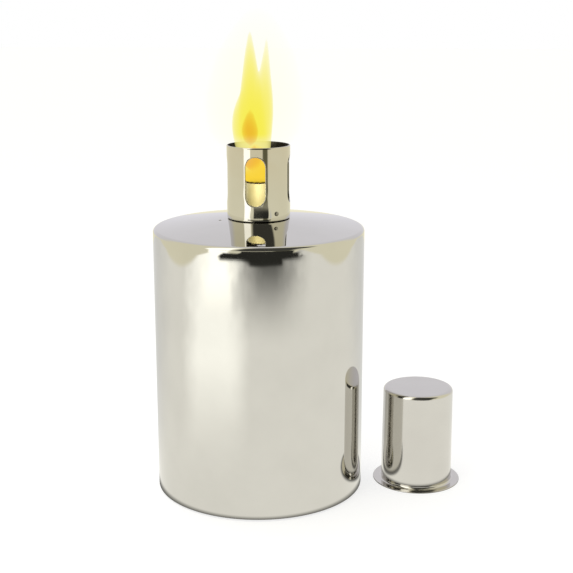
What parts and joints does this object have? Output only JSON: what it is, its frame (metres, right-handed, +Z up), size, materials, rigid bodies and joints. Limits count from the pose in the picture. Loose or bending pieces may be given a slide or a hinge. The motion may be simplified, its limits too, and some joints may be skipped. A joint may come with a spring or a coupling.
{
  "type": "tabletop spirit lamp",
  "caption": "Tabletop spirit lamp: round polished steel fuel tank, plug-in wick burner with a windowed flame guard, and a flanged snuffer cup standing beside it.",
  "frame": {"origin": "on the tank's axis, in the plane that the lamp stands on, at the middle of the base pad's underside", "axes": "+Z up along the tank's axis; the four windows of the flame guard face -Y (front), +X, +Y and -X; the snuffer cup stands on the +X side"},
  "size_m": [0.1636, 0.11, 0.1835],
  "materials": {
    "polished_steel": "mirror-polished stainless steel",
    "pressed_steel": "plain pressed and turned stainless steel, satin",
    "neck_silicone": "moulded silicone, matt",
    "pad_foam": "closed-cell foam, matt",
    "wick_fibre": "braided glass fibre, matt, charred at the tip"
  },
  "bodies": {
    "tank": {"tank_shell": "polished_steel", "bottom_plate": "pressed_steel", "base_pad": "pad_foam", "filler_neck": "pressed_steel", "neck_seal": "neck_silicone"},
    "burner": {"flame_guard": "polished_steel", "burner_plate": "pressed_steel", "wick_tube": "polished_steel", "tube_collar": "pressed_steel", "guard_rivet_1": "pressed_steel", "guard_rivet_2": "pressed_steel"},
    "wick_rope": {"wick": "wick_fibre", "wick_band": "pressed_steel"},
    "snuffer": {"snuffer_cup": "polished_steel"}
  },
  "joints": [
    {"name": "burner_lift", "type": "slide", "parent": "tank", "child": "burner", "axis": [0, 0, 1], "range_m": [0, 0.145]},
    {"name": "wick_feed", "type": "slide", "parent": "burner", "child": "wick_rope", "axis": [0, 0, 1], "range_m": [-0.0024, 0.015]},
    {"name": "snuffer_lift", "type": "slide", "parent": "tank", "child": "snuffer", "axis": [0, 0, 1], "range_m": [0, 0.2]}
  ]
}
